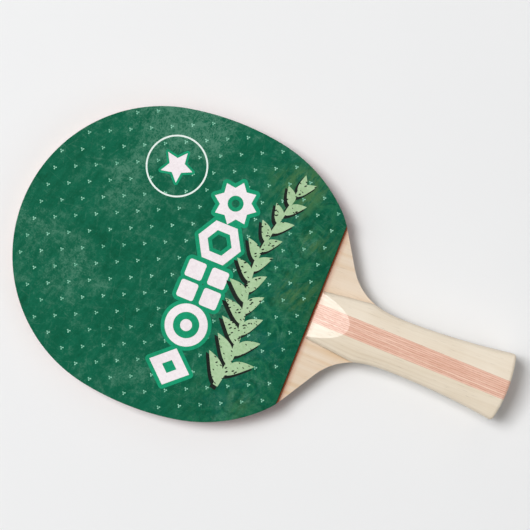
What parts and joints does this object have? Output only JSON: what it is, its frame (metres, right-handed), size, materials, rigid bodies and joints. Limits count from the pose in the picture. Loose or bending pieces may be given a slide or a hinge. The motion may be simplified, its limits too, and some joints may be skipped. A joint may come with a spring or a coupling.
{
  "type": "table tennis paddle",
  "caption": "Table tennis paddle with a round plywood head, rubber and sponge on both faces, and a flared wooden handle with a laminated centre stripe.",
  "frame": {"origin": "under the middle of the paddle's length and width, level with the underside of the handle", "axes": "+X along the handle from the head's tip to the butt, +Y across, +Z out of the printed front face"},
  "size_m": [0.26, 0.1522, 0.023],
  "materials": {
    "core_wood": "sanded plywood edge, unsealed",
    "cross_wood": "sanded plywood edge, end grain",
    "face_wood": "sanded veneer, matte",
    "front_sponge_rubber": "fine closed-cell sponge",
    "back_sponge_rubber": "fine closed-cell sponge",
    "printed_green_rubber": "smooth satin sheet with a full print",
    "plain_red_rubber": "smooth satin sheet",
    "handle_wood_light": "fine sanded, matte",
    "handle_wood_warm": "fine sanded, matte",
    "stripe_wood_pale": "dyed veneer, matte",
    "stripe_wood_pink": "dyed veneer, matte"
  },
  "bodies": {
    "root": {"core_ply": "core_wood", "front_cross_ply": "cross_wood", "back_cross_ply": "cross_wood", "front_face_ply": "face_wood", "back_face_ply": "face_wood", "front_sponge": "front_sponge_rubber", "back_sponge": "back_sponge_rubber", "front_top_sheet": "printed_green_rubber", "back_top_sheet": "plain_red_rubber", "front_handle_cheek_left": "handle_wood_light", "front_handle_cheek_right": "handle_wood_warm", "back_handle_cheek_left": "handle_wood_light", "back_handle_cheek_right": "handle_wood_warm", "front_stripe_veneer_01": "stripe_wood_pale", "front_stripe_veneer_02": "stripe_wood_pink", "front_stripe_veneer_03": "stripe_wood_pale", "front_stripe_veneer_04": "stripe_wood_pink", "front_stripe_veneer_05": "stripe_wood_pale", "front_stripe_veneer_06": "stripe_wood_pink", "front_stripe_veneer_07": "stripe_wood_pale", "front_stripe_veneer_08": "stripe_wood_pink", "front_stripe_veneer_09": "stripe_wood_pale", "front_stripe_veneer_10": "stripe_wood_pink", "back_stripe_veneer_01": "stripe_wood_pale", "back_stripe_veneer_02": "stripe_wood_pink", "back_stripe_veneer_03": "stripe_wood_pale", "back_stripe_veneer_04": "stripe_wood_pink", "back_stripe_veneer_05": "stripe_wood_pale", "back_stripe_veneer_06": "stripe_wood_pink", "back_stripe_veneer_07": "stripe_wood_pale", "back_stripe_veneer_08": "stripe_wood_pink", "back_stripe_veneer_09": "stripe_wood_pale", "back_stripe_veneer_10": "stripe_wood_pink"}
  },
  "joints": []
}
